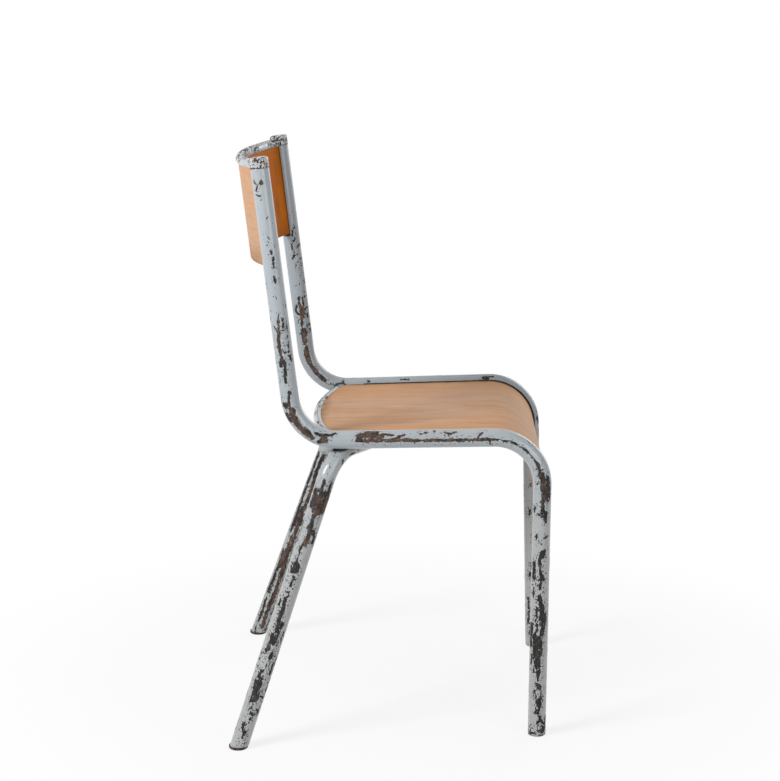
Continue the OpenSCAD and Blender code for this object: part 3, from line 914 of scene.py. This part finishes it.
# %% Seat veneer
def seat_wood():
    material, tree = new_material("worn_seat_veneer")
    board = attribute(tree, "board", "Vector")
    along, across = split(board, "X"), split(board, "Y")
    wavy = board.scaled(6, 22, 0).noise(1.0, 3, 0.5)
    grain = board.scaled(9, 420, 0).noise(1.0, 4, 0.6)
    fine = board.scaled(30, 1500, 0).noise(1.0, 3, 0.6)
    patches = board.scaled(1, 1.6, 0).noise(9, 4, 0.6)
    bands = board.scaled(4, 34, 0).noise(1.0, 3, 0.5)
    from_middle = across.math("ABSOLUTE", across)
    near_rails = from_middle.step(0.03, 0.14)
    apron = along.step(0.21, 0.07)
    kept = near_rails * 0.60 + apron * 0.45 + bands.step(0.42, 0.62) * 0.55
    kept = kept + patches.step(0.45, 0.70) * 0.3
    kept = kept.math("MINIMUM", kept, 1.0)
    # Pale in the middle, where the varnish is worn and a painted sheen lies; orange near the rails, on the
    # apron and in bands.
    colour = mixed(PALE_WORN_SEAT_SHEEN, ORANGE_SEAT, kept)
    blotches = board.scaled(14, 30, 0).noise(1.0, 5, 0.65)
    colour = shaded(colour, 0.72 + wavy * 0.24 + grain * 0.22 + blotches * 0.22)
    broad = board.scaled(9, 105, 0).noise(1.0, 3, 0.6).step(0.54, 0.70)
    streaks = grain.step(0.52, 0.66) * 0.34 + fine.step(0.52, 0.64) * 0.30 * patches.step(0.30, 0.55)
    streaks = streaks.larger(broad * 0.42)
    colour = mixed(colour, STREAK, streaks)
    # A near-black line where the board meets the tubes, and darker smears near the rails and the rear edge:
    # dirt, and painted shade where the board goes into the tubes.
    to_side = frame_x(REAR_Y) + (longest - along) * TOE - from_middle
    dark_seam_grime_shade = to_side.step(TUBE_R + 0.0022, TUBE_R + 0.0004)
    grime = to_side.step(0.022, 0.013) * 0.6 + along.step(longest - 0.020, longest - 0.002) * 0.6
    edge_shade_and_smears = grime * board.noise(60, 4, 0.6).step(0.30, 0.62)
    scratches = board.scaled(25, 25, 0).noise(6, 6, 0.75).step(0.66, 0.72) * 0.25
    colour = mixed(colour, SEAT_DIRT_AND_SHADE, edge_shade_and_smears.larger(scratches))
    colour = mixed(colour, SEAM_GRIME_AND_SHADE, dark_seam_grime_shade * 0.85)
    colour = mixed(colour, SEAT_DIRT_AND_SHADE, plies(board, SEAT_T) * along.step(0.0006, 0.0001))
    height = grain * 0.06 - fine.step(0.60, 0.72) * 0.10 + wavy * 0.3
    finish_material(tree, {"IOR": 1.4, "Specular IOR Level": 0.15}, Base_Color=colour,
                    Normal=height.bump(0.0006, 0.6), Roughness=0.54 - kept * 0.10 + edge_shade_and_smears * 0.25)
    return material


seat = board_piece("seat_board", longest, 110, SEAT_T, on_seat, seat_wood())
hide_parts("seat_panel")
print("seat veneer has", len(seat.data.materials[0].node_tree.nodes), "nodes")


# %% Backrest veneer
def backrest_wood():
    material, tree = new_material("varnished_backrest_veneer")
    board = attribute(tree, "board", "Vector")
    depth, height_up = split(board, "Z"), split(board, "Y")
    grain = board.scaled(10, 380, 0).noise(1.0, 4, 0.6)
    fine = board.scaled(26, 1300, 0).noise(1.0, 3, 0.6)
    patches = board.noise(16, 4, 0.6)
    rear = depth.step(-0.001, 0.001)
    broad = board.scaled(5, 70, 0).noise(1.0, 4, 0.6)
    colour = mixed(ORANGE_BACK, PEACH_BACK, rear)
    colour = mixed(colour, ORANGE_SEAT, rear * broad.step(0.48, 0.66) * 0.55)
    colour = shaded(colour, 0.66 + grain * (0.12 + rear * 0.14) + patches * 0.26 + broad * 0.28)
    rubbed = board.scaled(26, 9, 0).noise(1.0, 4, 0.65).step(0.46, 0.70) * (1 - rear) * 0.34
    colour = mixed(colour, (0.56, 0.20, 0.012), rubbed)
    stained = board.scaled(34, 10, 2).noise(1.0, 4, 0.7).step(0.50, 0.68) * (1 - rear) * 0.40
    colour = mixed(colour, (0.21, 0.055, 0.006), stained)
    streaks = (grain.step(0.52, 0.68) * 0.26 + fine.step(0.52, 0.64) * 0.26) * (0.45 + rear * 0.55)
    colour = mixed(colour, (0.22, 0.075, 0.010), streaks)
    scuffs = board.scaled(14, 60, 1).noise(3, 5, 0.75).step(0.62, 0.70) * (0.05 + rear * 0.37)
    colour = mixed(colour, (0.60, 0.42, 0.27), scuffs)
    edge_height = BACK_TOP - BACK_H * (1 + BACK_SHARE) / 2
    on_edge = height_up.step(edge_height + 0.0004, edge_height)
    colour = mixed(colour, SEAT_DIRT_AND_SHADE, plies(board, BACK_T) * on_edge)
    low = height_up.step(-0.100, -0.134)
    colour = mixed(colour, (0.13, 0.065, 0.035), low * board.noise(45, 5, 0.65) * 0.7)
    relief = grain * 0.05 + fine * 0.04
    finish_material(tree, {"IOR": 1.4, "Specular IOR Level": 0.05}, Base_Color=colour,
                    Normal=relief.bump(0.0006, 0.5),
                    Roughness=0.36 + patches * 0.14 + low * 0.2 + scuffs * 0.4 + rubbed * 0.4)
    return material


# %% Backrest
back_middle = BACK_TOP - BACK_H / 2
arc_length = 2 * back_half * back_arc_r


def on_backrest(s, up, off):
    height = back_middle + up * BACK_H / 2 * BACK_SHARE
    return on_back(s / back_arc_r - back_half, off, height), (s, height, off)


back = board_piece("backrest_board", arc_length, 64, BACK_T, on_backrest, backrest_wood())
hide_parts("backrest_panel")
print("backrest arc", round(arc_length, 3), "m")

# %% [markdown]
# ## Caps and feet
#
# A plug with a low rounded head closes each post, and each leg stands on a disc. Both were
# painted over with the frame, and both take knocks, so their paint is mostly chips. They are
# turned from a short profile, which is how such shapes are made in Blender as on a lathe.


# %% Turned pieces
def turned(name, origin, axis, profile, dark, brown, material):
    z = unit(axis)
    x = unit(np.cross([0, 1, 0], z))
    y = np.cross(z, x)
    sides = 72
    points, along, around = [], [], []
    walked = 0.0
    for i, (r, h) in enumerate(profile):
        if i:
            walked += math.hypot(r - profile[i - 1][0], h - profile[i - 1][1])
        for j in range(sides):
            a = 2 * math.pi * j / sides
            points.append(np.asarray(origin) + x * r * math.cos(a) + y * r * math.sin(a) + z * h)
            along.append(walked * 1000)
            around.append(math.degrees(a))
    along, around = np.array(along), np.array(around)
    chip, rust = chip_fields(along, around, TUBE_R * 1000, dark, brown)
    rust = np.maximum(rust, 0.9)
    ring = np.radians(around)
    unrolled = np.stack([along / 1000, TUBE_R * np.cos(ring), TUBE_R * np.sin(ring)], -1)
    faces = ring_faces(len(profile), sides)
    last = (len(profile) - 1) * sides
    faces += [tuple(range(sides))[::-1], tuple(range(last, last + sides))]
    fields = {"unrolled": unrolled, "chip_mm": chip, "rust": rust}
    return new_piece(name, points, faces, fields, material)


def rounded_profile(radius, height, edge, steps=7):
    """Radius and height of a disc's outside: up its wall and over its rounded edge."""
    wall = [(radius, h) for h in np.linspace(0, height - edge, 9)]
    turn = [(radius - edge + edge * math.cos(a), height - edge + edge * math.sin(a))
            for a in np.linspace(0, math.pi / 2, steps)[1:]]
    top = [(r, height) for r in np.linspace(radius - edge, 0.0006, 8)[1:]]
    return wall + turn + top


cap_paint = painted_steel("chipped_cap_paint", paint=(0.46, 0.465, 0.465), specks=0.060)
for side, name in ((RIGHT, "right_post_cap"), (LEFT, "left_post_cap")):
    corners = side_corners(side)
    profile = [(CAP_R, -0.0002)] + rounded_profile(CAP_R, CAP_H, 0.003)
    # The last dark stroke rings the cap's foot: chipped paint, and a painted shadow of the gap under the
    # cap.
    dark = random_strokes(rng, 8, (1, 24), (0, 360), 14, 3) + [(2.4, 0, 0, 0, 180, 0, 360)]
    brown = random_strokes(rng, 30, (2, 24), (0, 360), 14, 5)
    cap = turned(name + "_turned", corners[3], corners[3] - corners[2], profile, dark, brown,
                 cap_paint)
    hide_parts(name)

# %% Feet
foot_paint = painted_steel("chipped_foot_paint", paint=(0.34, 0.345, 0.34), specks=0.075)
feet = [("right_front_foot", side_corners(RIGHT)), ("left_front_foot", side_corners(LEFT)),
        ("right_rear_foot", [rear_foot(RIGHT), hoop_corners[1]]),
        ("left_rear_foot", [rear_foot(LEFT), hoop_corners[3]])]
for name, corners in feet:
    lean = unit(corners[1] - corners[0])
    top = corners[0] + np.array([0, 0, FOOT_H])
    foot_r = TUBE_R / lean[2] - 0.00005
    profile = [(foot_r, -0.0001)] + rounded_profile(foot_r, FOOT_H, 0.002)
    is_rear = "rear" in name
    dark = random_strokes(rng, 10 if is_rear else 4, (0, 6), (0, 360), 20, 4)
    brown = random_strokes(rng, 8 if is_rear else 2, (0, 6), (0, 360), 20, 4)
    if is_rear:
        dark.append((5, 3, 0, 3, 120, 3, 240, 3, 360))
        brown.append((4, 1, 0, 1, 120, 1, 240, 1, 360))
    foot = turned(name + "_disc", top, (0, 0, -1), profile, dark, brown, foot_paint)
    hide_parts(name)

# %% [markdown]
# ## Welds
#
# The rear hoop is welded to the rails where its bends touch them from below, and the seat's
# edge tube is welded to the rails at both ends. A bead is a ring round the place of contact
# that fills the wedge between two tubes, so its thickness follows the gap there, with lumps.


# %% Beads
WELD_REACH = 0.0060
ROUND, THROUGH = 96, 16


def bead(centre, up, first, reach, shape_of):
    """A closed bead round a contact, with the height and thickness that shape_of a way gives."""
    x = unit(np.cross(first, up))
    y = np.cross(up, x)
    points = []
    for i in range(ROUND):
        a = 2 * math.pi * i / ROUND
        way = x * math.cos(a) + y * math.sin(a)
        middle, thick = shape_of(way)
        thick *= 1 + 0.10 * math.sin(9 * a + 1) + 0.08 * math.sin(17 * a)
        for j in range(THROUGH):
            b = 2 * math.pi * j / THROUGH
            off, height = reach + thick * math.cos(b), middle + thick * math.sin(b)
            points.append(centre + way * off + up * height)
    faces = []
    for i in range(ROUND):
        for j in range(THROUGH):
            k, m = (i + 1) % ROUND * THROUGH, (j + 1) % THROUGH
            faces.append((i * THROUGH + j, k + j, k + m, i * THROUGH + m))
    return points, faces


def drop(way, axis, reach):
    """How far a tube's skin falls away from its highest line, at a distance from the contact."""
    off = reach * np.linalg.norm(np.cross(way, unit(axis)))
    return TUBE_R - math.sqrt(max(TUBE_R ** 2 - off ** 2, 0))


weld_points, weld_faces = [], []
tangents = np.gradient(hoop_route, axis=0)
for side in (RIGHT, LEFT):
    front, rear = side_corners(side)[1:3]
    rail_way = unit(rear - front)
    gaps = np.linalg.norm(np.cross(hoop_route - front, rail_way), axis=1)
    gaps[(hoop_route[:, 0] * side < 0) | (hoop_route[:, 2] < 0.3)] = 9
    nearest = int(np.argmin(gaps))
    on_rail = front + rail_way * ((hoop_route[nearest] - front) @ rail_way)
    up = unit(on_rail - hoop_route[nearest])
    contact = (hoop_route[nearest] + on_rail) / 2

    def wedge(way, along=tangents[nearest], rail_way=rail_way):
        above, below = drop(way, rail_way, WELD_REACH), drop(way, along, WELD_REACH)
        return (above - below) / 2, (above + below) / 2 + 0.0002

    beads = [bead(contact, up, rail_way, WELD_REACH, wedge)]
    end_y = SEAT_EDGE_Y - SEAT_EDGE_BOW
    end = np.array([side * frame_x(end_y), end_y, seat_edge_z])
    inward = unit(np.array([-side, 2 * SEAT_EDGE_BOW / seat_chord, 0]))
    beads.append(bead(end + inward * (TUBE_R + 0.0006), inward, np.array([0, 0, 1.0]),
                      SEAT_EDGE_R, lambda way: (0.0, 0.0021)))
    for points, faces in beads:
        first = len(weld_points)
        weld_points += points
        weld_faces += [tuple(first + i for i in f) for f in faces]
    gap = float(gaps[nearest]) - 2 * TUBE_R
    print("weld of side", side, "at", np.round(contact, 4), "gap", round(gap, 5))

weld_points = np.array(weld_points)
weld_paint = painted_steel("painted_weld", specks=0.03)
# The welds get a high seam value, so they come out dark: dirt, and a painted shade of the wedge between the
# tubes.
even = {key: np.full(len(weld_points), value)
        for key, value in (("chip_mm", 9.0), ("rust", 0.8), ("dirt_and_shade", 0.85))}
welds = new_piece("weld_fillets", weld_points, weld_faces, {"unrolled": weld_points, **even},
                  weld_paint)
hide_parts("weld_beads")

# %% [markdown]
# ## Floor, light and camera
#
# The chair stands on a plain white floor in a bright room. A large soft lamp above and behind
# the chair gives the tubes their light upper edges. Two weaker ones in front fill both sides,
# and a faint one hangs overhead. The world is white where the camera or a reflection looks at
# it, and dimmer as a light.

# %% Rays that see the white, and what they see
def seen_rays(tree):
    """1 for rays from the camera, by a reflection or through glass; 0 for light on surfaces."""
    rays = [add_node(tree, "ShaderNodeLightPath", {}, {}, name)
            for name in ("Is Camera Ray", "Is Glossy Ray", "Is Transmission Ray")]
    return rays[0].larger(rays[1]).larger(rays[2])


def show(tree, share, lit, white, output_kind):
    """Ends a graph with the white shader by its share, and with the lit one for the rest."""
    both = add_node(tree, "ShaderNodeMixShader", {}, {0: share, 1: lit, 2: white})
    output = tree.nodes.new(output_kind)
    tree.links.new(both.socket, output.inputs["Surface"])


WHITE = (1, 1, 1, 1)

# %% Floor
FLOOR_HALF = 12
corners = [(x * FLOOR_HALF, y * FLOOR_HALF, 0) for x, y in ((-1, -1), (1, -1), (1, 1), (-1, 1))]
floor_mesh = bpy.data.meshes.new("floor")
floor_mesh.from_pydata(corners, [], [(0, 1, 2, 3)])
floor = put_in_scene("floor", floor_mesh)
floor_material, tree = new_material("white_floor")
floor_mesh.materials.append(floor_material)
diffuse = add_node(tree, "ShaderNodeBsdfDiffuse", {}, {"Color": (0.82, 0.82, 0.82, 1)})
glow = add_node(tree, "ShaderNodeEmission", {}, {"Color": WHITE, "Strength": 1.0})
seen = seen_rays(tree)
spot = add_node(tree, "ShaderNodeTexCoord", {}, {}, "Object")
from_chair = spot.node("ShaderNodeVectorMath", {"operation": "LENGTH"}, {0: spot}, "Value")
whiteness = 0.80 + from_chair.step(0.25, 0.85) * 0.20
show(tree, seen * whiteness, diffuse, glow, "ShaderNodeOutputMaterial")

# %% World
world = bpy.data.worlds.new("room")
bpy.context.scene.world = world
world.use_nodes = True
tree = world.node_tree
tree.nodes.clear()
soft = add_node(tree, "ShaderNodeBackground", {}, {"Color": WHITE, "Strength": 0.30})
white = add_node(tree, "ShaderNodeBackground", {}, {"Color": WHITE, "Strength": 1.0})
show(tree, seen_rays(tree), soft, white, "ShaderNodeOutputWorld")


# %% Lamps
def softbox(name, place, aim, size, power):
    lamp = bpy.data.lights.new(name, "AREA")
    lamp.shape, lamp.size, lamp.energy = "SQUARE", size, power
    box = put_in_scene(name, lamp)
    box.location = place
    box.rotation_euler = (Vector(aim) - Vector(place)).to_track_quat("-Z", "Y").to_euler()
    print(name, "at", place)


middle = (0, 0, POST_TOP_Z / 2)
softbox("key", (-1.6, 2.2, 2.1), middle, 1.0, 84)
softbox("fill", (-2.4, -1.8, 1.2), middle, 1.6, 26)
softbox("far_fill", (2.2, -2.0, 1.6), middle, 1.8, 22)
softbox("overhead", (0.3, 0.2, 2.8), middle, 1.6, 6)

# %% Camera
SEEN_FROM = math.radians(1.27)
SEEN_DOWN = math.radians(12.3)
TILT = math.radians(-0.2)
CAMERA_FAR = 2.82207
LENS = 89.54
target = Vector((0, 0.0013, 0.45434))
back_way = Vector((-math.cos(SEEN_FROM) * math.cos(SEEN_DOWN),
                   -math.sin(SEEN_FROM) * math.cos(SEEN_DOWN), math.sin(SEEN_DOWN)))
right_way = Vector((0, 0, 1)).cross(back_way).normalized()
up_way = back_way.cross(right_way)
right_tilted = math.cos(TILT) * right_way + math.sin(TILT) * up_way
up_tilted = back_way.cross(right_tilted)
camera_data = bpy.data.cameras.new("camera")
camera_data.lens = LENS
camera_data.sensor_width = 36
camera = put_in_scene("camera", camera_data)
place = [target[i] + back_way[i] * CAMERA_FAR for i in range(3)]
camera.matrix_world = Matrix([(right_tilted[i], up_tilted[i], back_way[i], place[i]) for i in range(3)]
                             + [(0, 0, 0, 1)])
bpy.context.scene.camera = camera
bpy.context.scene.view_settings.view_transform = "Standard"
print("camera at", np.round(place, 3))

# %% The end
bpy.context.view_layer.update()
